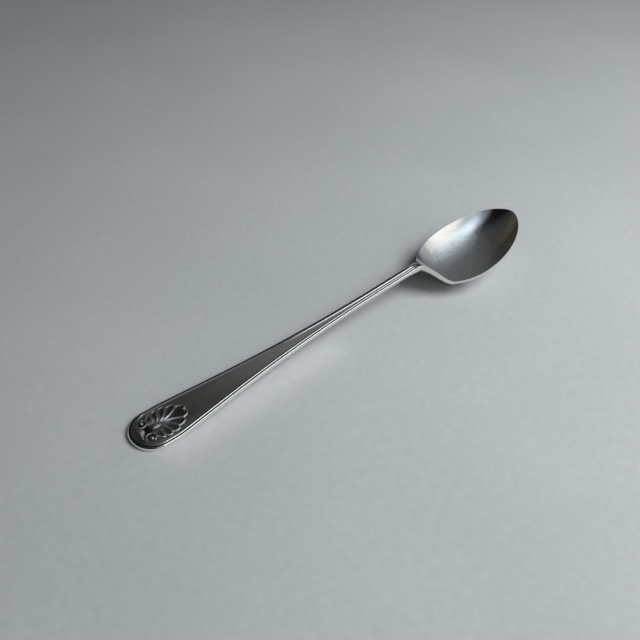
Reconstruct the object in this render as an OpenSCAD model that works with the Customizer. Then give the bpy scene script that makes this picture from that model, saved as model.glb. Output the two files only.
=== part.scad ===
// Buffet spoon with a palmette on its handle.
// It lies on the table, hollow side up: +X runs from the handle end to the bowl tip,
// +Y is the left side seen from the handle end, Z = 0 is the table. All sizes are in mm.
// Every surface is a function of s, the distance from the handle end along X.

/* [Handle] */
// Handle length, from the end to the neck
handle_l = 162.5; // [150:0.5:185]
// Width of the round handle end
end_w = 22.4; // [21.6:0.2:27]
// Thickness of the handle end at its edge
end_t = 2; // [1.6:0.1:2.6]
// Rise of the crowned top across the end
crown = 0.7; // [0.4:0.1:1.6]
// Length of the end that lies flat on the table
rest_l = 8; // [6:0.5:12]
// Length over which the end narrows to the stem
taper_l = 124; // [105:1:135]
// Width of the stem at the neck
stem_w = 4.6; // [4.5:0.1:6]
// Thickness of the stem at the neck
stem_t = 3.2; // [2.6:0.1:4]
// Height of the stem's side at the neck
stem_side = 1.9; // [1.4:0.1:2.4]
// Extra height of the side where the stem swells into the bowl
neck_swell = 1.7; // [0:0.1:2]
// Height of the stem's top edge above the table at the neck
neck_h = 19.7; // [15:0.1:24]
// Length over which the handle bends up from the table
bend_l = 14; // [8:1:30]

/* [Bowl] */
// Bowl length, from the neck to the tip
bowl_l = 68; // [62:1:80]
// Bowl width
bowl_w = 40; // [34:0.5:46]
// Bowl depth below the rim at its widest place
bowl_d = 12.5; // [9:0.5:15]
// Length from the widest place to the tip
nose_l = 34.5; // [30:0.5:38]
// Length from the neck to the deepest place
heel_l = 24; // [21:0.5:28]
// Length over which the rim drops from the neck
shoulder_l = 13.5; // [11:0.5:18]
// Slope of the rim up to the tip, in degrees
bowl_tilt = 12.5; // [9:0.5:16]
// Dip of the rim in side view, between neck and tip
rim_dip = 1.9; // [0:0.1:3]
// Wall at the deepest place
bowl_wall = 1.3; // [1:0.1:2]
// Height of the rim's outer edge
rim_t = 1.6; // [1.2:0.1:2.2]

/* [Border] */
// Width of the edge bead round the end
bead_w = 0.8; // [0.6:0.05:1.2]
// Width of the edge bead at the neck
bead_neck_w = 0.7; // [0.5:0.05:0.75]
// Height of the edge bead
bead_h = 0.2; // [0.1:0.05:0.6]
// Width of the inner thread at the end
thread_w = 1.2; // [0.8:0.05:1.3]
// Width of the inner thread at the neck
thread_neck_w = 1.05; // [0.7:0.05:1.1]
// Height of the inner thread
thread_h = 0.3; // [0.2:0.05:0.6]
// Groove between the bead and the thread
groove_w = 0.4; // [0.1:0.05:0.45]
// Plain length left between the border and the neck
border_gap = 5; // [3:0.5:12]

/* [Palmette] */
// Distance of the root of the petals from the handle end
root_s = 10.6; // [10:0.2:13]
// Length from the root to the tips on the axis
petal_l = 18.2; // [14:0.1:18.6]
// Height of the ridges between the petals
ridge_h = 0.5; // [0.3:0.05:0.9]
// Height of the hollow inside a petal
scoop_h = 0.12; // [0.08:0.02:0.3]
// How much higher the petals stand at their root
arch_h = 0.5; // [0:0.05:0.7]
// Length of the heart, the mound that the petals spring from
heart_l = 5.8; // [4.6:0.2:6.6]
// Width of the heart
heart_w = 2.6; // [2:0.1:3.2]
// Height of the heart
heart_h = 0.7; // [0.3:0.05:1]

/* [Scrolls] */
// Distance of the scroll eyes from the handle end
eye_s = 7.8; // [7.4:0.1:8.6]
// Distance of the scroll eyes from the side edge
eye_in = 6.4; // [6.2:0.1:6.8]
// Radius of a scroll eye
eye_r = 0.85; // [0.6:0.05:1]
// Height of a scroll eye
eye_h = 0.7; // [0.4:0.05:1]
// Largest width of the scroll ribbon
scroll_w = 1.7; // [1.2:0.1:1.8]
// Width of the scroll's hook
hook_w = 0.5; // [0.4:0.05:0.7]
// Height of the scroll ribbon
scroll_h = 0.55; // [0.3:0.05:0.9]

/* [Husk] */
// Distance of the husk's root from the handle end
husk_s = 7.6; // [7.2:0.1:8]
// Length of the middle lobe of the husk
husk_l = 3.3; // [2.6:0.1:3.8]
// How much longer the outer lobes of the husk are
husk_more = 1.9; // [1:0.1:2.2]
// Half of the angle that the husk fans over, in degrees
husk_fan = 47; // [36:1:49]
// Height of the husk lobes
husk_h = 0.5; // [0.3:0.05:0.8]

/* [Hidden] */
total_l = handle_l + bowl_l;
// outline: a round end, a short straight piece, the taper, and an egg with a filleted neck
end_r = end_w / 2;
straight_l = 7;
taper_s = end_r + straight_l;
taper_p = 0.58;
wide_s = total_l - nose_l;
neck_p = 2.4;
nose_p = 0.58;
neck_r = 2;
tip_half = 0.8;
// the swelling of the neck: its middle and its reach on both sides
swell_s = handle_l + 3;
swell_l = 13;
// side view: the hollow of the bowl already starts in the stem
hollow_lead = 3;
hollow_s = handle_l - hollow_lead;
low_s = handle_l + heel_l;
rim_rise = tan(bowl_tilt);
floor_p = 2.4;
floor_wide = pow((wide_s - low_s) / (total_l - low_s), floor_p);
tip_h = bowl_wall + (bowl_d + nose_l * rim_rise + rim_dip) / (1 - floor_wide);
// curve of the cross sections, top and underside
section_p = 2.2;
// relief: how deep it is seated in the handle, and its height where it runs out
seat = 0.15;
run_out = 0.06;
// border: both lines fade out towards the neck
border_end = handle_l - border_gap;
border_fade = 12;
thread_lead = 0.6;
thread_start = end_r - thread_lead;
// heart: its middle lies a little in front of the root
heart_lead = 1.7;
heart_s = root_s + heart_lead;
// petals: angles of the ridges, how their curve changes, and where they start
petal_pairs = 5;
fan_step = 15.8;
fan_grow = 0.6;
ridge_bend = 1.85;
ridge_unbend = 0.42;
petal_fall = 95;
notch = 0.9;
axis_notch = 0.85;
lobe_out = 0.12;
petal_start = [5, 5, 3.8, 2.6, 2.3, 2.1];
// share of a petal's length at which it has risen, and between which its rim rises
petal_foot = 0.4;
rim_from = 0.7;
rim_to = 0.9;
// scroll: a spiral from the thread to the hook, widest soon after it leaves the thread
eye_y = end_r - eye_in;
scroll_from = 55;
scroll_to = 440;
hook_r = 1.8;
scroll_pitch = 2.05;
scroll_flare = 2.5;
flare_p = 12;
ribbon_peak = 135;
ribbon_span = 130;
// the ribbon's section: place across, share of its height
ribbon_section = [[0, 0], [0.15, 1], [0.5, 0.45], [0.85, 1], [1, 0]];
// husk
husk_lobes = 5;
husk_root = 0.8;
husk_notch = 0.78;
// fineness of the grids
handle_cols = 12;
handle_steps = 36;
bowl_cols = 16;
heel_steps = 19;
bead_cols = [0.02, 0.25, 0.5, 0.75, 0.98];
bead_steps = 36;
thread_cols = 4;
thread_steps = 40;
scroll_steps = 42;
dome_steps = 6;
lobe_cols = 6;
husk_steps = 5;
petal_rows = [0, 0.12, 0.25, 0.4, 0.55, 0.7, 0.8, 0.9, 1];
petal_cols = [0, 0.12, 0.3, 0.5, 0.7, 0.88, 1];

function clamp(x) = min(max(x, 0), 1);
function mix(a, b, t) = a + (b - a) * t;
function ease(x) = let (t = clamp(x)) t * t * (3 - 2 * t);
// a straight ramp that starts with a curve of length k
function ramp(x, k) = x <= 0 ? 0 : x < k ? x * x / (2 * k) : x - k / 2;
// the larger of two values, with a fillet of size k where they cross
function larger(a, b, k) = max(a, b) + pow(max(k - abs(a - b), 0), 2) / (4 * k);
// a round hump over 0 to 1, a round lobe over -1 to 1, and a soft bell over -1 to 1
function hump(v) = 4 * v * (1 - v);
function lobe(c) = sqrt(max(1 - c * c, 0));
function bell(x) = pow(max(1 - x * x, 0), 2);
// n + 1 evenly spaced values from a to b
function steps(a, b, n) = [for (i = [0:n]) mix(a, b, i / n)];

// outline
function taper_half(s) =
    let (t = pow(clamp((s - taper_s) / taper_l), taper_p))
    mix(end_r, stem_w / 2, 0.5 - 0.5 * cos(180 * t));
function handle_half(s) = s < end_r ? end_r * lobe(1 - s / end_r) : taper_half(s);
function neck_half(s) = bowl_w / 2 * (1 - pow((wide_s - s) / (wide_s - handle_l), neck_p));
function nose_half(s) = bowl_w / 2 * pow(max(1 - pow((s - wide_s) / nose_l, 2), 0), nose_p);
function bowl_half(s) = s < wide_s ? larger(taper_half(s), neck_half(s), neck_r) : nose_half(s);
function half(s) = max(s < handle_l ? handle_half(s) : bowl_half(s), tip_half);

// heights along the edge and along the middle
stem_rise = (neck_h - end_t) / ramp(handle_l - rest_l, bend_l);
function stem_z(s) = end_t + stem_rise * ramp(s - rest_l, bend_l);
function rim_z(s) = tip_h - (total_l - s) * rim_rise - rim_dip * (1 - pow((s - wide_s) / nose_l, 2));
function to_rim(s) = ease((s - handle_l) / shoulder_l);
function edge_z(s) = mix(stem_z(s), rim_z(s), to_rim(s));
function crown_z(s) = crown * pow(handle_half(s) / end_r, 2);
function to_low(s) = ease((s - hollow_s) / (low_s - hollow_s));
function heel_z(s) = mix(stem_z(s) + crown_z(s), bowl_wall, to_low(s));
function floor_z(s) = mix(bowl_wall, tip_h, pow((s - low_s) / (total_l - low_s), floor_p));
function middle_z(s) = s < low_s ? heel_z(s) : floor_z(s);

// thickness along the middle and along the edge
function to_neck(s) = ease((s - rest_l) / (handle_l - rest_l));
function stem_thick(s) = mix(end_t + crown_z(s), stem_t, to_neck(s));
function swell(s) = neck_swell * bell((s - swell_s) / swell_l);
function thick(s) = mix(stem_thick(s), bowl_wall, to_low(s)) + swell(s) / 2;
function stem_edge(s) = mix(end_t, stem_side, to_neck(s));
function edge_thick(s) = mix(stem_edge(s), rim_t, to_rim(s)) + swell(s);

// the two surfaces of the spoon
function across(s, y) = pow(min(abs(y) / half(s), 1), section_p);
function top_z(s, y) = mix(middle_z(s), edge_z(s), across(s, y));
function under_z(s, y) = mix(middle_z(s) - thick(s), edge_z(s) - edge_thick(s), across(s, y));

// one point of a slab's grid: place on the plan, top and underside
function spoon_pt(s, y) = [s - total_l / 2, y, top_z(s, y), max(under_z(s, y), 0)];
function relief_pt(s, y, h) = [s - total_l / 2, y, top_z(s, y) + max(h, run_out), top_z(s, y) - seat];

// a closed solid between the top and the underside of a grid of points
module slab(grid) {
    rows = len(grid);
    cols = len(grid[0]);
    count = rows * cols;
    top = [for (row = grid) for (p = row) [p[0], p[1], p[2]]];
    low = [for (row = grid) for (p = row) [p[0], p[1], p[3]]];
    skin = [
        for (i = [0:rows - 2]) for (j = [0:cols - 2])
            let (a = i * cols + j, b = a + cols)
            each [[a, a + 1, b + 1], [a, b + 1, b]]
    ];
    base = [for (f = skin) [f[2] + count, f[1] + count, f[0] + count]];
    // the border of the grid, in order round the solid
    loop = concat(
        [for (i = [0:rows - 2]) i * cols],
        [for (j = [0:cols - 2]) (rows - 1) * cols + j],
        [for (i = [rows - 1:-1:1]) i * cols + cols - 1],
        [for (j = [cols - 1:-1:1]) j]
    );
    wall = [
        for (k = [0:len(loop) - 1])
            let (a = loop[k], b = loop[(k + 1) % len(loop)])
            each [[a, b, b + count], [a, b + count, a + count]]
    ];
    polyhedron(points = concat(top, low), faces = concat(skin, base, wall));
}

module handle() {
    round_rows = [for (a = [0:10:80]) end_r * (1 - cos(a))];
    stem_rows = steps(end_r, handle_l, handle_steps);
    color("silver")
    slab([
        for (s = concat(round_rows, stem_rows))
            [for (v = steps(-1, 1, handle_cols)) spoon_pt(s, v * half(s))]
    ]);
}

module bowl() {
    heel_rows = steps(handle_l, wide_s, heel_steps);
    nose_rows = [for (a = [6:6:90]) wide_s + nose_l * sin(a)];
    color("gainsboro")
    slab([
        for (s = concat(heel_rows, nose_rows))
            [for (v = steps(-1, 1, bowl_cols)) spoon_pt(s, v * half(s))]
    ]);
}

// border: a round bead on the edge, a groove and an inner thread
function along(s) = clamp((s - end_r) / (handle_l - end_r));
function bead_width(s) = mix(bead_w, bead_neck_w, along(s));
function thread_width(s) = mix(thread_w, thread_neck_w, along(s));
function fade(s) = ease((border_end - s) / border_fade);
function bead_side_pt(s, side, v) =
    let (y = half(s) - bead_width(s) * (1 - v))
    relief_pt(s, side * y, bead_h * hump(v) * fade(s));
function bead_round_pt(a, v) =
    let (r = end_r - bead_w * (1 - v))
    relief_pt(end_r - r * cos(a), r * sin(a), bead_h * hump(v));
module edge_bead() {
    side_rows = steps(end_r, border_end, bead_steps);
    color("whitesmoke")
    slab(concat(
        [for (i = [bead_steps:-1:1]) [for (v = bead_cols) bead_side_pt(side_rows[i], -1, v)]],
        [for (a = [-90:7.5:90]) [for (v = bead_cols) bead_round_pt(a, v)]],
        [for (i = [1:bead_steps]) [for (v = bead_cols) bead_side_pt(side_rows[i], 1, v)]]
    ));
}

module thread_left() {
    color("whitesmoke")
    slab([
        for (s = steps(thread_start, border_end, thread_steps))
            let (w = thread_width(s), inner = half(s) - bead_width(s) - groove_w - w)
            [for (v = steps(0, 1, thread_cols)) relief_pt(s, inner + v * w, thread_h * hump(v) * fade(s))]
    ]);
}
module thread_right() {
    mirror([0, 1, 0]) thread_left();
}

// scroll: the thread rolls up round the eye as a hollow ribbon that ends in a hook
function scroll_r(a) =
    let (w = (scroll_to - a) / (scroll_to - scroll_from))
    hook_r + scroll_pitch * w + scroll_flare * pow(w, flare_p);
function ribbon(a) = mix(hook_w, scroll_w, bell((a - ribbon_peak) / ribbon_span));
module scroll_left() {
    color("whitesmoke")
    slab([
        for (a = steps(scroll_from, scroll_to, scroll_steps))
            [for (p = ribbon_section)
                let (r = scroll_r(a) - ribbon(a) * p[0])
                relief_pt(eye_s + r * cos(a), eye_y + r * sin(a), scroll_h * p[1])]
    ]);
}
module scroll_right() {
    mirror([0, 1, 0]) scroll_left();
}

// a small oval dome: a square grid pressed into a disc and stretched
module dome(s, y, s_r, y_r, h) {
    slab([
        for (i = steps(-1, 1, dome_steps))
            [for (j = steps(-1, 1, dome_steps))
                let (a = i * sqrt(1 - j * j / 2), b = j * sqrt(1 - i * i / 2))
                relief_pt(s + s_r * a, y + y_r * b, h * (1 - a * a - b * b))]
    ]);
}

module eye_left() {
    color("white") dome(eye_s, eye_y, eye_r, eye_r, eye_h);
}
module eye_right() {
    mirror([0, 1, 0]) eye_left();
}

// husk: a fan of small round lobes between the scrolls
function husk_reach(a, c) = (husk_l + husk_more * pow(a / husk_fan, 2)) * mix(husk_notch, 1, lobe(c));
module husk() {
    cols = husk_lobes * lobe_cols;
    color("whitesmoke")
    slab([
        for (t = steps(0, 1, husk_steps))
            [for (k = [0:cols])
                let (
                    a = mix(husk_fan, -husk_fan, k / cols),
                    c = 2 * (k % lobe_cols) / lobe_cols - 1,
                    r = mix(husk_root, husk_reach(a, c), t)
                )
                relief_pt(husk_s - r * cos(a), r * sin(a), husk_h * (1 - c * c) * sqrt(hump(t)))]
    ]);
}

module heart() {
    color("gainsboro") dome(heart_s, 0, heart_l / 2, heart_w / 2, heart_h);
}

// petals: hollow leaves between curved ridges that fan out from the root; 1 is next to the axis
function fan_angle(k) = fan_step * k + fan_grow * k * k;
function tip_r(a) = petal_l * exp(-a / petal_fall);
function ridge_pt(k, t) =
    let (
        reach = (k == 0 ? axis_notch : notch) * tip_r(fan_angle(k)),
        r = mix(petal_start[k], reach, t),
        a = fan_angle(k) * pow(r / reach, ridge_bend - ridge_unbend * k)
    )
    [root_s + r * cos(a), r * sin(a)];
function tip_step(k) =
    let (a = (fan_angle(k - 1) + fan_angle(k)) / 2)
    lobe_out * tip_r(a) * [cos(a), sin(a)];
function petal_at(k, t, u) =
    mix(ridge_pt(k - 1, t), ridge_pt(k, t), u) + t * t * lobe(2 * u - 1) * tip_step(k);
// the two petals on the axis meet without a ridge
function ridge_part(k, u) = k == 1 && u < 0.5 ? 0 : pow(abs(2 * u - 1), 3);
function petal_height(k, t, u) =
    let (rim = max(ridge_part(k, u), ease((t - rim_from) / (rim_to - rim_from))))
    t < 1 ? (mix(scoop_h, ridge_h, rim) + arch_h * (1 - t)) * ease(t / petal_foot) : 0;
module petal_left(k) {
    color("gainsboro")
    slab([
        for (t = petal_rows)
            [for (u = petal_cols)
                let (p = petal_at(k, t, u))
                relief_pt(p[0], p[1], petal_height(k, t, u))]
    ]);
}
module petal_right(k) {
    mirror([0, 1, 0]) petal_left(k);
}

bowl();
handle();
edge_bead();
thread_left();
thread_right();
scroll_left();
scroll_right();
eye_left();
eye_right();
husk();
heart();
for (k = [1:petal_pairs]) petal_left(k);
for (k = [1:petal_pairs]) petal_right(k);
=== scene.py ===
import math

import bpy
import numpy as np
from mathutils import Matrix, Vector


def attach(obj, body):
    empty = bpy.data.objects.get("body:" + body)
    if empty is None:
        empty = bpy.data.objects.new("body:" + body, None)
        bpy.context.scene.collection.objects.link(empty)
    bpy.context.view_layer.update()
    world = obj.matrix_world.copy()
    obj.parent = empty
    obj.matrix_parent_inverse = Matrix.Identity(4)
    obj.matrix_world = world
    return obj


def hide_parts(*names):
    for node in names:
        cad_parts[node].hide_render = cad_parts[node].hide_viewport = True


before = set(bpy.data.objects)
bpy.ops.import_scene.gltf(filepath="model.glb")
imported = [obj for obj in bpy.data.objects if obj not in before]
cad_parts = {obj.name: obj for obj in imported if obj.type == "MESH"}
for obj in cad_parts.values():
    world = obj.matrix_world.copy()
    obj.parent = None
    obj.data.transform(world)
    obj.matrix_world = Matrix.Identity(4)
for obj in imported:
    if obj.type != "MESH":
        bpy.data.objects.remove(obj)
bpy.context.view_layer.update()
scene = bpy.context.scene
MM = 0.001
SIDES = ("left", "right")

# Sizes in mm and angles in degrees, as in the part's source. Only the border and the start of the petals
# have values of their own, which are finer.
handle_l, end_w, end_t, crown, rest_l = 162.5, 22.4, 2.0, 0.7, 8.0
straight_l, taper_l, bend_l = 7.0, 124.0, 14.0
stem_w, stem_t, stem_side, neck_swell, neck_h = 4.6, 3.2, 1.9, 1.7, 19.7
bowl_l, bowl_w, bowl_d, nose_l, heel_l, hollow_lead = 68.0, 40.0, 12.5, 34.5, 24.0, 3.0
shoulder_l, bowl_tilt, rim_dip, bowl_wall, rim_t = 13.5, 12.5, 1.9, 1.3, 1.6
bead_w, bead_neck_w, bead_h = 0.5, 0.45, 0.1
thread_w, thread_neck_w, thread_h, groove_w = 1.2, 1.05, 0.3, 0.68
border_gap, border_fade = 1.0, 3.5
root_s, petal_l, ridge_h, arch_h = 10.6, 18.2, 0.5, 0.5
heart_lead, heart_l, heart_w, heart_h = 1.7, 5.8, 2.6, 0.7
eye_s, eye_in, eye_r, eye_h = 7.8, 6.4, 0.85, 0.7
scroll_w, hook_w, scroll_h = 1.7, 0.5, 0.55
husk_s, husk_l, husk_more, husk_fan, husk_h = 7.6, 3.3, 1.9, 47.0, 0.5

# Places and curves, from the sizes; names in _p are powers
total_l = handle_l + bowl_l
end_r = end_w / 2
taper_s, taper_p = end_r + straight_l, 0.58
swell_s, swell_l = handle_l + 3, 13.0
wide_s, neck_p, nose_p, neck_r = total_l - nose_l, 2.4, 0.58, 2.0
hollow_s, low_s, floor_p, section_p = handle_l - hollow_lead, handle_l + heel_l, 2.4, 2.2
rim_rise = math.tan(math.radians(bowl_tilt))
floor_wide = ((wide_s - low_s) / (total_l - low_s)) ** floor_p
tip_h = bowl_wall + (bowl_d + nose_l * rim_rise + rim_dip) / (1 - floor_wide)
border_end = handle_l - border_gap
fan_step, fan_grow, ridge_bend, ridge_unbend, petal_fall = 15.8, 0.6, 1.85, 0.42, 95.0
notch, axis_notch, lobe_out = 0.9, 0.85, 0.12
petal_start = (2.6, 2.6, 2.3, 2.0, 1.9, 1.8)
petal_count = len(petal_start) - 1
heart_s = root_s + heart_lead
eye_y = end_r - eye_in
scroll_from, scroll_to, hook_r = 55.0, 440.0, 1.8
scroll_pitch, scroll_flare, flare_p = 2.05, 2.5, 12
ribbon_peak, ribbon_span = 135.0, 130.0
husk_lobes, husk_root, husk_notch = 5, 0.8, 0.78

# Relief: how deep its pieces sit in the top, how far their edges start below it, and their least height
seat, sink, least_t = 0.15, 0.01, 0.02

# Rounding of the edges: on the handle, on the bowl, and how much more at the swollen neck
round_top, round_low = (0.8, 0.55, 0.4), (0.6, 0.4, 0.7)
round_share = 0.45  # of the edge's height, at most
turn_from, turn_over = handle_l - 14, 20.0  # where the handle's rounding turns into the bowl's

# Wear and painted shade: polish on the walls, nose and heel of the bowl; tarnish with painted shade round
# the husk, in the border's groove and on the low parts of husk and heart
wall_from, wall_over, wall_p = handle_l + 9.5, 26.0, 0.7
nose_from, nose_over, nose_polish = handle_l + 37.5, 24.0, 0.6
heel_end, heel_over, neck_over = handle_l + 17.5, 10.0, 4.0
side_from, side_over = 0.3, 0.4  # how far a surface faces sideways where it counts as an outer wall
ground_s, ground_l, ground_w, ground_z, ground_dark = 8.0, 5.5, 7.5, 1.0, 0.95
groove_from, groove_to, groove_soft, groove_dark = 0.2, 1.6, 0.3, 0.9
groove_fade, groove_below = 8.0, 0.3
husk_dark, husk_rub = 0.5, 0.6
heart_dark, heart_top_lighter, heart_rub = 0.75, 0.5, 0.8

# Points of the meshes
NOSE_RIBS, SHOULDER_RIBS, STEM_RIBS, END_RIBS = 73, 57, 151, 61
TOP_PTS, LIP_PTS, LOW_PTS = 46, 7, 26
BEAD_ALONG, BEAD_ROUND, BEAD_ACROSS = 181, 91, 21
THREAD_ALONG, THREAD_ACROSS = 200, 19
SCROLL_ALONG, SCROLL_ACROSS, DOME_PTS = 240, 25, 25
HUSK_ALONG, LOBE_ACROSS = 25, 16
PETAL_ALONG, PETAL_ACROSS, RIDGE_PTS = 70, 41, 60
TOP_GATHER, PETAL_GATHER = 0.9, 1.25  # powers that bring points closer together towards edge and tip
ON_AXIS = 1.5707  # angles past this one, in radians, lie on the spoon's axis
SAME_DIGITS = 5  # points of bowl and handle that agree to this many digits are one point


def clamp(x):
    return np.clip(x, 0.0, 1.0)


def mix(a, b, t):
    return a + (b - a) * t


def ease(x):
    """A soft step from 0 at 0 to 1 at 1."""
    t = clamp(x)
    return t * t * (3 - 2 * t)


def ramp(x, k):
    """A straight rise that starts with a bend of the length k."""
    return np.where(x <= 0, 0.0, np.where(x < k, x * x / (2 * k), x - k / 2))


def larger(a, b, k):
    """The larger value, rounded over k where the two are equal."""
    return np.maximum(a, b) + np.maximum(k - np.abs(a - b), 0) ** 2 / (4 * k)


def lobe(c):
    """A half circle between -1 and 1."""
    return np.sqrt(np.maximum(1 - c * c, 0))


def hump(v):
    """An arch between 0 and 1."""
    return 4 * v * (1 - v)


def bell(x):
    """An arch between -1 and 1 that runs out softly."""
    return np.maximum(1 - x * x, 0) ** 2


def gathered(count):
    """Shares from 0 to 1 that lie closer together at both ends."""
    return 0.5 - 0.5 * np.cos(np.pi * np.linspace(0, 1, count))


# The spoon's outline and surfaces, as functions of s, the distance from the handle end
def taper_half(s):
    t = clamp((s - taper_s) / taper_l) ** taper_p
    return mix(end_r, stem_w / 2, 0.5 - 0.5 * np.cos(np.pi * t))


def handle_half(s):
    return np.where(s < end_r, end_r * lobe(1 - s / end_r), taper_half(s))


def bowl_half(s):
    neck = bowl_w / 2 * (1 - np.maximum((wide_s - s) / (wide_s - handle_l), 0) ** neck_p)
    nose = bowl_w / 2 * np.maximum(1 - ((s - wide_s) / nose_l) ** 2, 0) ** nose_p
    return np.where(s < wide_s, larger(taper_half(s), neck, neck_r), nose)


def half(s):
    """Half of the spoon's width."""
    return np.maximum(np.where(s < handle_l, handle_half(s), bowl_half(s)), 1e-3)


def stem_z(s):
    return end_t + (neck_h - end_t) / ramp(handle_l - rest_l, bend_l) * ramp(s - rest_l, bend_l)


def to_rim(s):
    return ease((s - handle_l) / shoulder_l)


def edge_z(s):
    """Height of the top at the edge."""
    rim = tip_h - (total_l - s) * rim_rise - rim_dip * (1 - ((s - wide_s) / nose_l) ** 2)
    return mix(stem_z(s), rim, to_rim(s))


def crown_z(s):
    return crown * (handle_half(s) / end_r) ** 2


def to_low(s):
    return ease((s - hollow_s) / (low_s - hollow_s))


def middle_z(s):
    """Height of the top on the axis."""
    heel = mix(stem_z(s) + crown_z(s), bowl_wall, to_low(s))
    floor = mix(bowl_wall, tip_h, np.maximum((s - low_s) / (total_l - low_s), 0) ** floor_p)
    return np.where(s < low_s, heel, floor)


def to_neck(s):
    return ease((s - rest_l) / (handle_l - rest_l))


def swell(s):
    return neck_swell * bell((s - swell_s) / swell_l)


def thick(s):
    """Thickness on the axis."""
    return mix(mix(end_t + crown_z(s), stem_t, to_neck(s)), bowl_wall, to_low(s)) + swell(s) / 2


def edge_thick(s):
    return mix(mix(end_t, stem_side, to_neck(s)), rim_t, to_rim(s)) + swell(s)


def across(s, y):
    return np.minimum(np.abs(y) / half(s), 1) ** section_p


def top_z(s, y):
    return mix(middle_z(s), edge_z(s), across(s, y))


def under_z(s, y):
    return np.maximum(mix(middle_z(s) - thick(s), edge_z(s) - edge_thick(s), across(s, y)), 0)


# Meshes
def add_object(name, verts, faces, normals, attributes):
    """verts in mm with s in place of x; normals per face corner; attributes per vertex."""
    v = np.array(verts, dtype=float)
    v[:, 0] -= total_l / 2
    mesh = bpy.data.meshes.new(name)
    mesh.from_pydata((v * MM).tolist(), [], [list(map(int, f)) for f in faces])
    mesh.shade_smooth()
    for key, values in attributes.items():
        layer = mesh.attributes.new(key, "FLOAT", "POINT")
        layer.data.foreach_set("value", np.asarray(values, dtype=np.float32))
    mesh.normals_split_custom_set(np.asarray(normals).tolist())
    obj = bpy.data.objects.new(name, mesh)
    scene.collection.objects.link(obj)
    return obj


def unit(n):
    return n / np.maximum(np.linalg.norm(n, axis=1), 1e-12)[:, None]


def vertex_normals(v, faces):
    n = np.zeros_like(v)
    for size in (3, 4):
        f = np.array([x for x in faces if len(x) == size], dtype=int)
        if len(f):
            a = np.cross(v[f[:, 2]] - v[f[:, 0]], v[f[:, -1]] - v[f[:, 1]])
            for k in range(size):
                np.add.at(n, f[:, k], a)
    return unit(n)


def finish_piece(obj, node, material):
    obj.data.materials.append(material)
    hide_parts(node)
    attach(obj, "root")


def slab(name, s, y, h, wear_and_shade=None, depth=seat):
    """A closed piece of relief on a grid: h above the spoon's top, and seated in it to the given depth.
    It is smooth on top and crisp at its foot."""
    rows, cols = s.shape
    ground = top_z(s, y)
    low = ground - depth
    top = np.stack([s, y, np.maximum(ground + h, low + least_t)], -1).reshape(-1, 3)
    bottom = np.stack([s, y, low], -1).reshape(-1, 3)
    n = rows * cols
    idx = np.arange(n).reshape(rows, cols)
    skin = np.stack([idx[:-1, :-1], idx[1:, :-1], idx[1:, 1:], idx[:-1, 1:]], -1).reshape(-1, 4)
    loop = np.concatenate([idx[:-1, 0], idx[-1, :-1], idx[:0:-1, -1], idx[0, :0:-1]])
    after = np.roll(loop, -1)
    wall = np.stack([loop, loop + n, after + n, after], -1)
    faces = np.concatenate([skin, skin[:, ::-1] + n, wall])
    verts = np.concatenate([top, bottom])
    smooth = vertex_normals(verts, [tuple(f) for f in skin])
    a, b, c, d = (verts[faces[:, k]] for k in range(4))
    corner = np.repeat(unit(np.cross(c - a, d - b))[:, None, :], 4, 1)
    corner[: len(skin)] = smooth[skin]
    both = {k: np.concatenate([np.ravel(w), np.ravel(w)]) for k, w in (wear_and_shade or {}).items()}
    return add_object(name, verts, faces, corner.reshape(-1, 3), both)


def on_side(side, grid, wear_and_shade):
    """The grid, and wear and painted shade, of a piece of the left side, or their mirror image for the right
    side.
    """
    if side == "left":
        return (*grid, wear_and_shade)
    s, y, h = grid
    return s[::-1], -y[::-1], h[::-1], {k: w[::-1] for k, w in wear_and_shade.items()}


# Bowl and handle: ribs from the middle line over the edge to the underside, all round the outline
def spoon_ribs():
    """s of the middle point, s and y of the outline point, for each rib of the left half from the bowl's
    tip to the handle end; and the number of the rib where the bowl meets the handle."""
    ribs = []
    for a in np.radians(np.linspace(90, 0, NOSE_RIBS)):
        s = wide_s + nose_l * math.sin(a)
        ribs.append((wide_s, s, 0.0 if a > ON_AXIS else float(half(s))))
    for s in np.linspace(wide_s, handle_l, SHOULDER_RIBS)[1:]:
        ribs.append((s, s, float(half(s))))
    cut = len(ribs) - 1
    for s in np.linspace(handle_l, end_r, STEM_RIBS)[1:]:
        ribs.append((s, s, float(half(s))))
    for a in np.radians(np.linspace(0, 90, END_RIBS))[1:]:
        ribs.append((end_r, end_r - end_r * math.sin(a), 0.0 if a > ON_AXIS else end_r * math.cos(a)))
    return ribs, cut


def rib_points(mid, s, y):
    """One rib: top from the middle to the edge, a rounded edge, and the underside back to the middle."""
    d = np.array([s - mid, y])
    reach = np.linalg.norm(d)
    d = d / reach
    to_bowl = float(ease((s - turn_from) / turn_over))
    bulge = float(swell(s)) / neck_swell

    def rounding(on_handle, on_bowl, more):
        return mix(on_handle, on_bowl, to_bowl) + more * bulge

    def at(q, z_of):
        p_s, p_y = mid + d[0] * q, d[1] * q
        return np.stack([p_s, p_y, z_of(p_s, p_y)], -1)

    def edge(z):
        return np.array([s, y, z])

    def fillet(p, corner, q):
        t = np.linspace(0, 1, LIP_PTS)[:, None]
        return (1 - t) ** 2 * p + 2 * t * (1 - t) * corner + t * t * q

    r_top, r_low = rounding(*round_top), rounding(*round_low)
    z_hi, z_lo = float(edge_z(s)), max(float(edge_z(s) - edge_thick(s)), 0.0)
    top = at(np.linspace(0, 1, TOP_PTS) ** TOP_GATHER * (reach - r_top), top_z)
    low = at(np.linspace(1, 0, LOW_PTS) * (reach - r_low), under_z)
    most = round_share * (z_hi - z_lo)
    upper = fillet(top[-1], edge(z_hi), edge(z_hi - min(r_top, most)))
    lower = fillet(edge(z_lo + min(r_low, most)), edge(z_lo), low[0])
    return np.concatenate([top[:-1], upper, lower, low[1:]])


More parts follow.
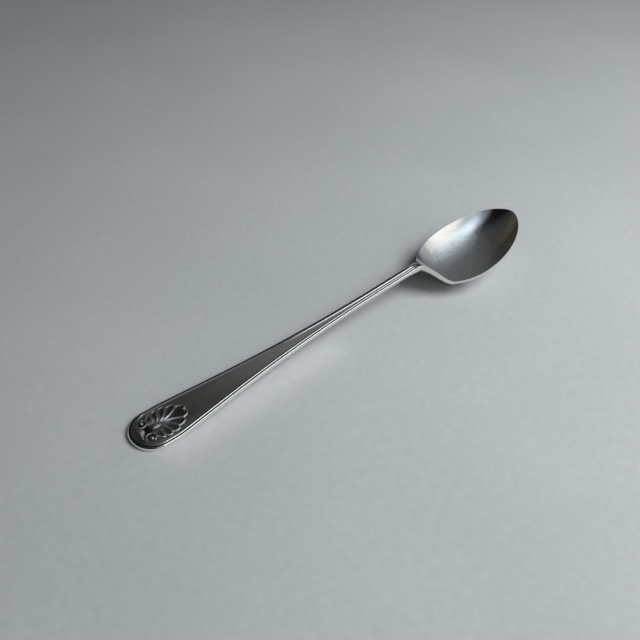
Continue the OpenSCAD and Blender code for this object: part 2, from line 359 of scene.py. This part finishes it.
def spoon_wear_and_shade(s, y, z, outward):
    """Polish, and tarnish with painted shade, of bowl and handle; outward is how far the surface faces away
    from the axis.
    """
    wall = across(s, y) ** wall_p * ease((s - wall_from) / wall_over)
    nose = nose_polish * ease((s - nose_from) / nose_over)
    heel = ease((heel_end - s) / heel_over)
    inside = clamp(wall + nose + heel) * ease((s - handle_l) / neck_over)
    polish = np.maximum(inside, ease((outward - side_from) / side_over))
    # Painted shade with tarnish: dark colour on the ground between the eyes and in the border's groove,
    # recesses that lie in shade.
    ground = np.exp(-(((s - ground_s) / ground_l) ** 2) - (y / ground_w) ** 4) * (z > ground_z)
    gap = np.where(s < end_r, end_r - np.hypot(end_r - s, y), half(s) - np.abs(y))
    groove = ease((gap - groove_from) / groove_soft) * ease((groove_to - gap) / groove_soft)
    groove = groove * ease((border_end - s) / groove_fade) * (z > top_z(s, y) - groove_below)
    return {"polish": polish, "tarnish": np.maximum(ground_dark * ground, groove_dark * groove)}


def make_spoon():
    """Bowl and handle as two closed meshes that share their section at the neck."""
    ribs, cut = spoon_ribs()
    left = np.array([rib_points(*r) for r in ribs])
    m, n = left.shape[:2]
    known, verts, ids = {}, [], np.zeros((2, m, n), dtype=int)
    for side, grid in enumerate((left, left * np.array([1, -1, 1]))):
        for i in range(m):
            for j in range(n):
                place = tuple(np.round(grid[i, j], SAME_DIGITS) + 0.0)
                if place not in known:
                    known[place] = len(verts)
                    verts.append(grid[i, j])
                ids[side, i, j] = known[place]
    verts = np.array(verts)
    parts = {"bowl": [], "handle": []}
    for side in (0, 1):
        for i in range(m - 1):
            for j in range(n - 1):
                f = [ids[side, i, j], ids[side, i, j + 1], ids[side, i + 1, j + 1], ids[side, i + 1, j]]
                f = f[::-1] if side else f
                f = [x for k, x in enumerate(f) if x != f[k - 1]]
                if len(f) > 2:
                    parts["bowl" if i < cut else "handle"].append(f)
    normals = vertex_normals(verts, parts["bowl"] + parts["handle"])
    section = list(ids[0, cut]) + list(ids[1, cut][-2:0:-1])
    caps = {"bowl": (section, -1.0), "handle": (section[::-1], 1.0)}
    out = {}
    for name, faces in parts.items():
        cap, axis = caps[name]
        used = sorted({x for f in faces for x in f})
        local = {x: k for k, x in enumerate(used)}
        corner = [normals[x] for f in faces for x in f] + [np.array([axis, 0, 0])] * len(cap)
        s, y, z = verts[used].T
        wear_and_shade = spoon_wear_and_shade(s, y, z, normals[used][:, 1] * np.sign(y))
        closed = [[local[x] for x in f] for f in [*faces, cap]]
        out[name] = add_object(name + "_body", verts[used], closed, corner, wear_and_shade)
    return out


# Materials
class Shader:
    """Adds nodes to a shader tree. An input takes a value or the output of another node."""

    def __init__(self, tree):
        self.tree = tree

    def feed(self, socket, value):
        if isinstance(value, bpy.types.NodeSocket):
            self.tree.links.new(value, socket)
        else:
            socket.default_value = value

    def add(self, kind, inputs=None, **settings):
        node = self.tree.nodes.new(kind)
        for key, value in settings.items():
            setattr(node, key, value)
        for key, value in (inputs or {}).items():
            self.feed(node.inputs[key], value)
        return node

    def calc(self, operation, value, *others):
        for other in others:
            value = self.add("ShaderNodeMath", {0: value, 1: other}, operation=operation).outputs[0]
        return value

    def ranged(self, value, a, b, low=0.0, high=1.0, kind="SMOOTHSTEP"):
        """From low, where the value is a, to high, where it is b."""
        inputs = {"Value": value, "From Min": a, "From Max": b, "To Min": low, "To Max": high}
        return self.add("ShaderNodeMapRange", inputs, interpolation_type=kind).outputs["Result"]

    def blend(self, share, a, b):
        """From colour a to colour b; a can be the output of another node."""
        first = a if isinstance(a, bpy.types.NodeSocket) else (*a, 1)
        inputs = {"Factor": share, "A": first, "B": (*b, 1)}
        return self.add("ShaderNodeMix", inputs, data_type="RGBA").outputs["Result"]


# Noise: turn in degrees, stretch per metre and detail of each layer of scratches, of stains and of haze
SCRATCHES = (
    (8, (90, 7000, 7000), 2.0),
    (-17, (130, 9000, 9000), 2.0),
    (52, (160, 8000, 8000), 2.0),
    (101, (200, 9500, 9500), 2.0),
)
BLOTCH, HAZE = (20, (90, 90, 90), 4.0), (70, (420, 420, 420), 3.0)
NOISE_SHIFT, NOISE_ROLL, NOISE_PITCH, NOISE_ROUGH = (0.37, 0.11, 0.23), 0.3, 0.2, 0.6
SCRATCH_SOFT, SCRATCH_DEPTH, POLISHED_SCRATCH = 0.12, 0.00004, 0.25
POLISHED_ROUGH, RUBBED_ROUGH = 0.6, 0.3
STAIN, STAIN_FROM, STAIN_TO = 0.25, 0.62, 0.85
HAZE_FROM, HAZE_TO, HAZE_DOWN, HAZE_UP, HAZE_RELIEF = 0.3, 0.7, 0.03, 0.04, 0.06
SATIN, BRIGHT = (0.88, 0.875, 0.86), (0.95, 0.945, 0.93)
PAPER_GREY, PAPER_PALE, PAPER_ROUGH = (0.445, 0.462, 0.468), (0.50, 0.515, 0.518), 0.85
GRAIN_SCALE, GRAIN_DETAIL, GRAIN_RELIEF, GRAIN_DEPTH = 260.0, 5.0, 0.15, 0.0002
CLOUD_SCALE, CLOUD_DETAIL, TONE_FROM, TONE_TO = 9.0, 3.0, 0.7, 1.3


def new_material(name):
    mat = bpy.data.materials.new(name)
    mat.use_nodes = True
    return mat, Shader(mat.node_tree), mat.node_tree.nodes["Principled BSDF"]


def metal(name, clean, dark, rough, worn, cover, relief, seed):
    """Worn metal: its clean and dark colour, the roughness of the metal and of its scratches, the noise
    level above which there is a scratch, and the strength of their relief. Pieces steer it by their
    attributes polish (fewer scratches, smoother), the one for tarnish and painted shade (dark colour in
    hollows and low parts) and rub (satin)."""
    mat, shader, bsdf = new_material(name)
    place = shader.add("ShaderNodeTexCoord").outputs["Object"]

    def noise(turn, stretch, detail):
        shift = tuple(seed * c for c in NOISE_SHIFT)
        turned = (NOISE_ROLL * seed, NOISE_PITCH, math.radians(turn))
        inputs = {"Vector": place, "Location": shift, "Rotation": turned, "Scale": stretch}
        moved = shader.add("ShaderNodeMapping", inputs).outputs[0]
        inputs = {"Vector": moved, "Scale": 1.0, "Detail": detail, "Roughness": NOISE_ROUGH}
        return shader.add("ShaderNodeTexNoise", inputs).outputs["Fac"]

    def attribute(key):
        return shader.add("ShaderNodeAttribute", attribute_name=key).outputs["Fac"]

    def where_polished(value):
        return shader.ranged(polish, 0.0, 1.0, 1.0, value)

    polish = attribute("polish")
    layers = [shader.ranged(noise(*layer), cover, cover + SCRATCH_SOFT) for layer in SCRATCHES]
    lines = shader.calc("MULTIPLY", shader.calc("MAXIMUM", *layers), where_polished(POLISHED_SCRATCH))
    blotch, haze = noise(*BLOTCH), noise(*HAZE)

    dark_share = shader.ranged(blotch, STAIN_FROM, STAIN_TO, 0.0, STAIN)
    # Painted shade: the dark colour also goes where a piece asks for tarnish and painted shade, in its
    # hollows and low parts.
    dark_share = shader.calc("MAXIMUM", attribute("tarnish"), dark_share)
    shader.feed(bsdf.inputs["Base Color"], shader.blend(dark_share, clean, dark))
    bsdf.inputs["Metallic"].default_value = 1.0

    hazy = shader.ranged(haze, HAZE_FROM, HAZE_TO, rough - HAZE_DOWN, rough + HAZE_UP)
    scratched = shader.calc("MULTIPLY", lines, worn - rough)
    rubbed = shader.calc("MULTIPLY", attribute("rub"), RUBBED_ROUGH)
    roughness = shader.calc("ADD", hazy, scratched, rubbed)
    shader.feed(bsdf.inputs["Roughness"], shader.calc("MULTIPLY", roughness, where_polished(POLISHED_ROUGH)))

    height = shader.calc("ADD", lines, shader.calc("MULTIPLY", haze, HAZE_RELIEF))
    inputs = {"Strength": relief, "Distance": SCRATCH_DEPTH, "Height": height}
    shader.feed(bsdf.inputs["Normal"], shader.add("ShaderNodeBump", inputs, invert=True).outputs[0])
    return mat


def paper():
    mat, shader, bsdf = new_material("floor_paper")
    place = shader.add("ShaderNodeTexCoord").outputs["Object"]

    def noise(scale, detail):
        inputs = {"Vector": place, "Scale": scale, "Detail": detail}
        return shader.add("ShaderNodeTexNoise", inputs).outputs["Fac"]

    grain, cloud = noise(GRAIN_SCALE, GRAIN_DETAIL), noise(CLOUD_SCALE, CLOUD_DETAIL)
    tone = shader.ranged(shader.calc("ADD", grain, cloud), TONE_FROM, TONE_TO, kind="LINEAR")
    shader.feed(bsdf.inputs["Base Color"], shader.blend(tone, PAPER_GREY, PAPER_PALE))
    bsdf.inputs["Roughness"].default_value = PAPER_ROUGH
    inputs = {"Strength": GRAIN_RELIEF, "Distance": GRAIN_DEPTH, "Height": grain}
    shader.feed(bsdf.inputs["Normal"], shader.add("ShaderNodeBump", inputs).outputs[0])
    return mat


bowl_mat = metal(
    "bowl_satin", SATIN, (0.30, 0.27, 0.21), rough=0.16, worn=0.52, cover=0.50, relief=0.8, seed=1
)
handle_mat = metal(
    "handle_satin", BRIGHT, (0.05, 0.045, 0.035), rough=0.10, worn=0.30, cover=0.68, relief=0.06, seed=2
)
thread_mat = metal(
    "thread_bright", BRIGHT, (0.12, 0.11, 0.09), rough=0.12, worn=0.30, cover=0.66, relief=0.05, seed=3
)
relief_mat = metal(
    "relief_worn", BRIGHT, (0.08, 0.076, 0.07), rough=0.2, worn=0.36, cover=0.64, relief=0.05, seed=4
)

bodies = make_spoon()
finish_piece(bodies["bowl"], "bowl", bowl_mat)
finish_piece(bodies["handle"], "handle", handle_mat)

# Border: a bead on the edge, and an inner thread whose crest leans over to the axis along the stem
bead_crest, bead_round, bead_depth = 0.62, 0.85, 0.72
bead_drop, faded_drop, faded_top = 0.4, 0.3, 0.1
end_peak, stem_peak, peak_from, peak_over = 0.62, 0.4, 36.0, 60.0
inner_p, outer_p, thread_more = 1.15, 2, 0.6


def along(s):
    return clamp((s - end_r) / (handle_l - end_r))


def fade(s):
    return ease((border_end - s) / border_fade)


def bead_height(q, f):
    """Bead at the share q of its width from the edge: a sloped outside, a short fall to the groove."""
    top = bead_h * f - faded_top * (1 - f)
    foot = -bead_drop - faded_drop * (1 - f)
    outer = mix(foot, top, (np.minimum(q, bead_crest) / bead_crest) ** bead_round)
    inner = top * (1 - (q - bead_crest) / (1 - bead_crest))
    return np.where(q < bead_crest, outer, inner) - sink


def make_bead():
    q = 1 - gathered(BEAD_ACROSS)
    side = np.linspace(border_end, end_r, BEAD_ALONG)
    w = mix(bead_w, bead_neck_w, along(side))[:, None]
    y = half(side)[:, None] - w * q[None, :]
    h = bead_height(q[None, :], fade(side)[:, None])
    s = np.repeat(side[:, None], len(q), 1)
    a = np.radians(np.linspace(-90, 90, BEAD_ROUND))[1:-1, None]
    r = (end_r - bead_w * q)[None, :]
    end_h = np.repeat(bead_height(q, 1.0)[None, :], len(a), 0)
    right, left = (s, -y, h), (s[::-1], y[::-1], h[::-1])
    end = (end_r - r * np.cos(a), r * np.sin(a), end_h)
    return tuple(np.concatenate(rows) for rows in zip(right, end, left))


def make_thread():
    v = gathered(THREAD_ACROSS)
    s = np.linspace(end_r - thread_more, border_end, THREAD_ALONG)
    beside_w, w = mix(bead_w, bead_neck_w, along(s)), mix(thread_w, thread_neck_w, along(s))
    y = (half(s) - beside_w - groove_w - w)[:, None] + w[:, None] * v[None, :]
    peak = mix(end_peak, stem_peak, ease((s - peak_from) / peak_over))[:, None]
    inner, outer = np.maximum(peak - v, 0) / peak, np.maximum(v - peak, 0) / (1 - peak)
    h = thread_h * (1 - inner**inner_p - outer**outer_p) * fade(s)[:, None] - sink
    return np.repeat(s[:, None], len(v), 1), y, h


bead = slab("edge_bead_line", *make_bead(), depth=bead_depth)
finish_piece(bead, "edge_bead", thread_mat)
thread = make_thread()
for side in SIDES:
    line = slab("thread_%s_line" % side, *on_side(side, thread, {}))
    finish_piece(line, "thread_" + side, thread_mat)

# Scrolls and eyes
scroll_hollow, dish_p, tail_more, tail_fade = 0.75, 2.5, 4.0, 18.0
eye_round, heart_round = 0.6, 0.9


def make_scroll():
    a = np.linspace(scroll_from, scroll_to, SCROLL_ALONG)
    w = (scroll_to - a) / (scroll_to - scroll_from)
    r = hook_r + scroll_pitch * w + scroll_flare * w**flare_p
    spread = bell((a - ribbon_peak) / ribbon_span)
    wide = mix(hook_w, scroll_w, spread)
    v = np.linspace(0, 1, SCROLL_ACROSS)
    dish = 1 - np.abs(2 * v - 1)[None, :] ** dish_p
    hollow = spread[:, None] * scroll_hollow * dish
    tail = ease((scroll_to + tail_more - a) / tail_fade)[:, None]
    h = scroll_h * np.sqrt(hump(v))[None, :] * (1 - hollow) * tail - sink
    rad = r[:, None] - wide[:, None] * v[None, :]
    ang = np.radians(a)[:, None]
    grid = (eye_s + rad * np.cos(ang), eye_y + rad * np.sin(ang), h)
    # Painted shade, with tarnish: the ribbon's hollow gets dark colour, and its raised edges are rubbed to
    # satin.
    return grid, {"tarnish": hollow, "rub": 1 - hollow}


def make_dome(s, y, s_r, y_r, h, round_p):
    steps = np.linspace(-1, 1, DOME_PTS)
    i, j = np.meshgrid(steps, steps, indexing="ij")
    a, b = i * np.sqrt(1 - j * j / 2), j * np.sqrt(1 - i * i / 2)
    return s + s_r * a, y + y_r * b, h * np.maximum(1 - a * a - b * b, 0) ** round_p - sink


scroll, scroll_wear_and_shade = make_scroll()
eye = make_dome(eye_s, eye_y, eye_r, eye_r, eye_h, eye_round)
for side in SIDES:
    ribbon = slab("scroll_%s_ribbon" % side, *on_side(side, scroll, scroll_wear_and_shade))
    finish_piece(ribbon, "scroll_" + side, relief_mat)
    dome = slab("eye_%s_dome" % side, *on_side(side, eye, {}))
    finish_piece(dome, "eye_" + side, thread_mat)


# Husk and heart
def make_husk():
    k = np.linspace(0, 1, husk_lobes * LOBE_ACROSS + 1)
    a = mix(husk_fan, -husk_fan, k)[None, :]
    c = (2 * ((k * husk_lobes) % 1.0) - 1)[None, :]
    c[0, -1] = 1.0
    reach = (husk_l + husk_more * (a / husk_fan) ** 2) * mix(husk_notch, 1, lobe(c))
    t = np.linspace(0, 1, HUSK_ALONG)[:, None]
    r = mix(husk_root, reach, t)
    h = husk_h * lobe(c) * np.sqrt(hump(t)) - sink
    return husk_s - r * np.cos(np.radians(a)), r * np.sin(np.radians(a)), h


fan = make_husk()
high = clamp(fan[2] / husk_h)
# Painted shade, with tarnish: the husk is darker where it is low, and rubbed to satin where it is high.
husk = slab("husk_fan", *fan, {"tarnish": husk_dark * (1 - high), "rub": husk_rub * high})
finish_piece(husk, "husk", relief_mat)
mound = make_dome(heart_s, 0.0, heart_l / 2, heart_w / 2, heart_h, heart_round)
high = clamp(mound[2] / heart_h)
# Painted shade, with tarnish: the heart is darker where it is low and lighter on top, and rubbed to satin
# where it is high.
heart = slab("heart_mound", *mound, {"tarnish": heart_dark - heart_top_lighter * high, "rub": heart_rub * high})
finish_piece(heart, "heart", relief_mat)

# Petals: hollow leaves between raised ridges, with a raised rim that stands in from the tip
crest_w, rim_w, rim_in, rim_from_t, rim_over_t = 0.4, 0.34, 0.44, 0.45, 0.25
side_p, tip_wall, wall_rise, grow_t, tip_round = 2.4, 1.6, 0.34, 0.4, 0.42
hollow_h, hollow_arch, hollow_p = 0.04, 0.8, 1.3
petal_dark, dark_from_t, dark_over_t = 0.8, 0.2, 0.4


def fan_angle(k):
    return fan_step * k + fan_grow * k * k


def tip_r(a):
    return petal_l * math.exp(-a / petal_fall)


def ridge(k, t):
    """Point at the share t of ridge k, which parts petal k from petal k + 1."""
    reach = (notch if k else axis_notch) * tip_r(fan_angle(k))
    r = mix(petal_start[k], reach, t)
    a = np.radians(fan_angle(k) * (r / reach) ** (ridge_bend - ridge_unbend * k))
    return np.stack([root_s + r * np.cos(a), r * np.sin(a)], -1)


def petal_at(k, t, u):
    """Point of petal k at the share t of its length and u of its width."""
    a = math.radians((fan_angle(k - 1) + fan_angle(k)) / 2)
    step = lobe_out * tip_r(math.degrees(a)) * np.array([math.cos(a), math.sin(a)])
    p = mix(ridge(k - 1, t), ridge(k, t), u[..., None])
    return p + (t * t * lobe(2 * u - 1))[..., None] * step


def line_distance(p, line):
    """Distance of points p from a polyline."""
    best = np.full(p.shape[:-1], 1e9)
    for a, b in zip(line[:-1], line[1:]):
        d = b - a
        q = clamp(((p - a) @ d) / max(d @ d, 1e-12))
        best = np.minimum(best, np.linalg.norm(p - a - q[..., None] * d, axis=-1))
    return best


def make_petal(k):
    lengths = 1 - (1 - np.linspace(0, 1, PETAL_ALONG)) ** PETAL_GATHER
    t, u = np.meshgrid(lengths, gathered(PETAL_ACROSS), indexing="ij")
    p = petal_at(k, t, u)
    f = np.linspace(0, 1, RIDGE_PTS)
    to_in, to_out = line_distance(p, ridge(k - 1, f)), line_distance(p, ridge(k, f))
    to_tip = line_distance(p, petal_at(k, np.ones_like(f), f))
    crest, side = np.exp(-((to_out / crest_w) ** 2)), u**side_p
    if k > 1:
        crest, side = np.maximum(crest, np.exp(-((to_in / crest_w) ** 2))), np.abs(2 * u - 1) ** side_p
    past = ease((t - rim_from_t) / rim_over_t)
    line = np.maximum(crest, np.exp(-(((to_tip - rim_in) / rim_w) ** 2)) * past)
    wall = np.maximum(side, np.maximum(1 - to_tip / tip_wall, 0) ** 2 * past)
    grow = ease(t / grow_t)
    rise = mix(line, wall, wall_rise) * grow
    floor = hollow_h + hollow_arch * arch_h * (1 - t) ** hollow_p
    h = mix(floor, ridge_h + arch_h * (1 - t), rise) * grow
    h = h * np.sqrt(1 - np.maximum(1 - to_tip / tip_round, 0) ** 2)
    # Painted shade, with tarnish: the hollows between ridges and rims are darker from the middle of the
    # petal on.
    dark = petal_dark * (1 - line) * ease((t - dark_from_t) / dark_over_t)
    return (p[..., 0], p[..., 1], h - sink), {"tarnish": dark, "rub": line}


for k in range(1, petal_count + 1):
    petal, petal_wear_and_shade = make_petal(k)
    for side in SIDES:
        leaf = slab("petal_%s_%d_leaf" % (side, k), *on_side(side, petal, petal_wear_and_shade))
        finish_piece(leaf, "petal_%s_%d" % (side, k), relief_mat)

# Camera at the photo's angle, in metres: solved in a table frame, X right and Y away from the camera
elev, yaw = math.radians(41.58), math.radians(37.5)
distance, start = 0.3785, Vector((-0.07951, -0.07838, 0.0))
sensor, focal_px, picture_px = 36.0, 760.0, 640.0
table_to_row = Matrix.Rotation(-yaw, 4, "Z") @ Matrix.Translation(-start)
table_to_row = Matrix.Translation((-total_l / 2 * MM, 0, 0)) @ table_to_row


def row(x, y, z):
    """Place in the shared frame of a point of the table frame."""
    return table_to_row @ Vector((x, y, z))


def aim(obj, eye, target):
    turn = (target - eye).to_track_quat("-Z", "Y").to_matrix().to_4x4()
    obj.matrix_world = Matrix.Translation(eye) @ turn


cam_data = bpy.data.cameras.new("camera")
cam_data.sensor_width = sensor
cam_data.lens = focal_px / picture_px * sensor
camera = bpy.data.objects.new("camera", cam_data)
scene.collection.objects.link(camera)
aim(camera, row(0, -distance * math.cos(elev), distance * math.sin(elev)), row(0, 0, 0))
scene.camera = camera

# Floor
floor_half = 1.5
floor_mesh = bpy.data.meshes.new("floor")
corners = [(x * floor_half, y * floor_half, 0) for x, y in ((-1, -1), (1, -1), (1, 1), (-1, 1))]
floor_mesh.from_pydata(corners, [], [(0, 1, 2, 3)])
floor = bpy.data.objects.new("floor", floor_mesh)
scene.collection.objects.link(floor)
floor_mesh.materials.append(paper())


# Light
def area(name, width, height, watts, colour):
    data = bpy.data.lights.new(name, "AREA")
    data.shape = "RECTANGLE"
    data.size, data.size_y = width, height
    data.energy = watts
    data.color = colour
    obj = bpy.data.objects.new(name, data)
    scene.collection.objects.link(obj)
    return obj


def from_sky(az, el, far):
    """Point of the table frame in a direction, given in degrees from X and above the table."""
    az, el = math.radians(az), math.radians(el)
    return (far * math.cos(el) * math.cos(az), far * math.cos(el) * math.sin(az), far * math.sin(el))


# Two panes of a window at the right show in the metal; a soft lamp from the same side lights the paper
window_far, key_far, above_table = 1.2, 0.8, row(0, 0, 0.02)
window_low = area("window_low", 1.35, 0.62, 2.95, (1.0, 0.98, 0.92))
aim(window_low, row(*from_sky(-24, 22, window_far)), above_table)
window_high = area("window_high", 1.45, 0.44, 2.94, (0.76, 0.88, 1.0))
aim(window_high, row(*from_sky(-38, 50, window_far)), above_table)
soft_key = area("soft_key", 0.45, 0.45, 5.9, (0.97, 0.99, 1.0))
aim(soft_key, row(*from_sky(-12, 50, key_far)), row(0, 0, 0))
soft_key.visible_glossy = False

# The light that the polished side throws on the paper beside it: a strip along the handle, facing down
glow_s, glow_y, glow_z, glow_turn = 58.0, -11.0, 8.0, math.radians(5)
edge_glow = area("edge_glow", 0.1, 0.008, 0.0011, (1.0, 0.97, 0.92))
glow_at = Vector(((glow_s - total_l / 2) * MM, glow_y * MM, glow_z * MM))
edge_glow.matrix_world = Matrix.Translation(glow_at) @ Matrix.Rotation(glow_turn, 4, "Z")
edge_glow.visible_glossy = edge_glow.visible_camera = False

# Room that shows in the metal: nearly black, with a dim band on the far side, a grey ceiling, a pale wall
# that shows along the handle, an olive corner that shows in the bowl's nose, and a glow beside the window
BLACK, FAR_BAND, CEILING = (0.004, 0.004, 0.004), (0.036, 0.035, 0.032), (0.13, 0.14, 0.155)
PALE_WALL, OLIVE_CORNER = (0.165, 0.165, 0.163), (0.065, 0.061, 0.046)
WINDOW_SIDE = (0.26, 0.25, 0.225)
world = bpy.data.worlds.new("room")
scene.world = world
world.use_nodes = True
room = Shader(world.node_tree)
sky = room.add("ShaderNodeTexCoord").outputs["Generated"]


def toward(az, el):
    """Cosine of the angle between a direction of the room and the given one."""
    way = table_to_row.to_3x3() @ Vector(from_sky(az, el, 1.0))
    return room.add("ShaderNodeVectorMath", {0: sky, 1: way}, operation="DOT_PRODUCT").outputs["Value"]


up = toward(0, 90)
band_low, band_high = room.ranged(up, 0.22, 0.55), room.ranged(up, 0.72, 0.95, 1.0, 0.0)
far_band = room.calc("MULTIPLY", band_low, band_high, room.ranged(toward(115, 0), -0.1, 0.5))
pale_wall = room.calc("MULTIPLY", room.ranged(toward(80, 42), 0.88, 0.985), room.ranged(up, 0.35, 0.6))
colour = room.blend(far_band, BLACK, FAR_BAND)
colour = room.blend(room.ranged(up, 0.80, 1.0), colour, CEILING)
colour = room.blend(pale_wall, colour, PALE_WALL)
colour = room.blend(room.ranged(toward(148, 20), 0.90, 0.975), colour, OLIVE_CORNER)
colour = room.blend(room.ranged(toward(-60, 14), 0.94, 0.995), colour, WINDOW_SIDE)
back = world.node_tree.nodes["Background"]
room.feed(back.inputs["Color"], colour)
back.inputs["Strength"].default_value = 1.0

scene.view_settings.view_transform = "Standard"
